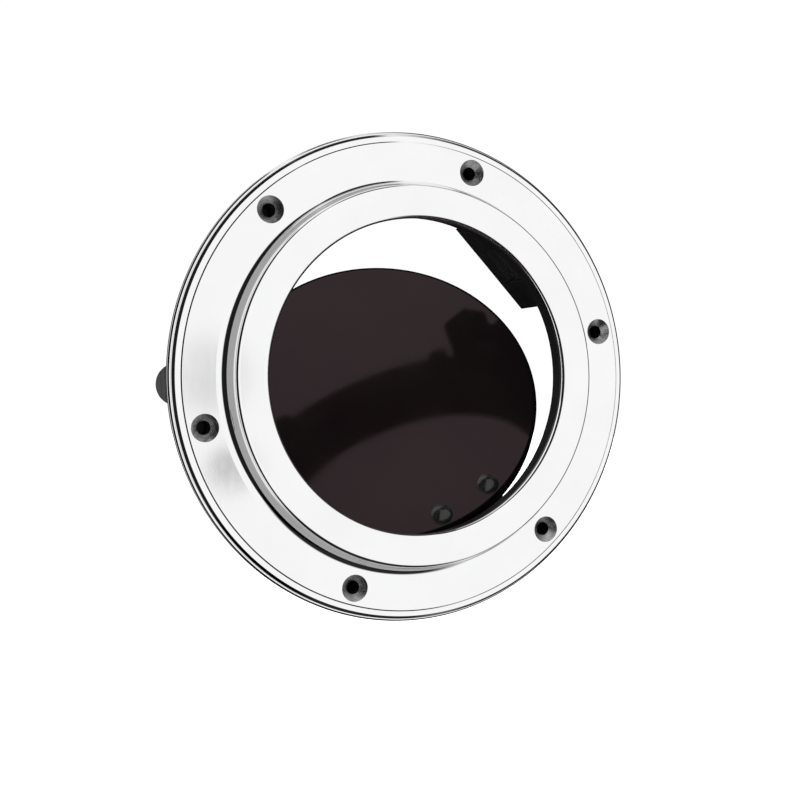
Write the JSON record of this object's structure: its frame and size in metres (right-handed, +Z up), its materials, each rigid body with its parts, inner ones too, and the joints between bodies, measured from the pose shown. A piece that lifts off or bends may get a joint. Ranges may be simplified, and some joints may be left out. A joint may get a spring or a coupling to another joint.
{
  "type": "opening deck hatch",
  "caption": "Round opening hatch with a polished steel trim ring, black frame, tinted glass lid hinged inward, and lever latches.",
  "frame": {"origin": "centre of the bolt circle on the rear, seating face of the trim ring", "axes": "-Y out of the hatch towards the outside, +Z up, +X to the right seen from outside"},
  "size_m": [0.2, 0.1093, 0.2],
  "materials": {
    "polished_steel": "mirror-polished stainless steel",
    "black_rubber": "matt EPDM",
    "black_plastic": "moulded, fine spark texture",
    "black_lever": "moulded, satin, ribbed grip",
    "dark_glass": "tempered, deep smoke tint, polished edge",
    "black_coated_steel": "black powder coat",
    "black_bolt": "black domed caps",
    "nylon": "natural nylon",
    "plain_steel": "turned stainless steel"
  },
  "bodies": {
    "root": {"trim_ring": "polished_steel", "trim_gasket": "black_rubber", "main_frame": "black_plastic", "lid_seal": "black_rubber", "hinge_base": "black_coated_steel", "hinge_base_screws": "plain_steel", "hinge_pin": "plain_steel", "hinge_pin_clips": "plain_steel", "latch_a_housing": "black_plastic", "latch_a_screws": "plain_steel", "latch_a_pin": "plain_steel", "latch_a_washers": "nylon", "latch_b_housing": "black_plastic", "latch_b_screws": "plain_steel", "latch_b_pin": "plain_steel", "latch_b_washers": "nylon"},
    "lid": {"lid_glass": "dark_glass", "hinge_arm": "black_coated_steel", "hinge_arm_pad": "black_rubber", "lid_bolts": "black_bolt", "lid_bolt_washers": "black_bolt", "lid_glass_bushes": "nylon", "lid_nut_washers": "plain_steel", "lid_cap_nuts": "plain_steel"},
    "latch_a": {"latch_a_lever": "black_lever", "latch_a_lever_pad": "black_rubber"},
    "latch_b": {"latch_b_lever": "black_lever", "latch_b_lever_pad": "black_rubber"}
  },
  "joints": [
    {"name": "lid_hinge", "type": "hinge", "parent": "root", "child": "lid", "pos_m": [0.04, 0.0086, -0.06928], "axis": [-0.866, 0, -0.5], "range_deg": [-35.4, 70]},
    {"name": "latch_a_pivot", "type": "hinge", "parent": "root", "child": "latch_a", "pos_m": [0.05803, 0.019, 0.05507], "axis": [-0.6884, 0, 0.7254], "range_deg": [0, 115]},
    {"name": "latch_b_pivot", "type": "hinge", "parent": "root", "child": "latch_b", "pos_m": [-0.07995, 0.019, -0.00279], "axis": [0.0349, 0, -0.9994], "range_deg": [0, 115]}
  ]
}
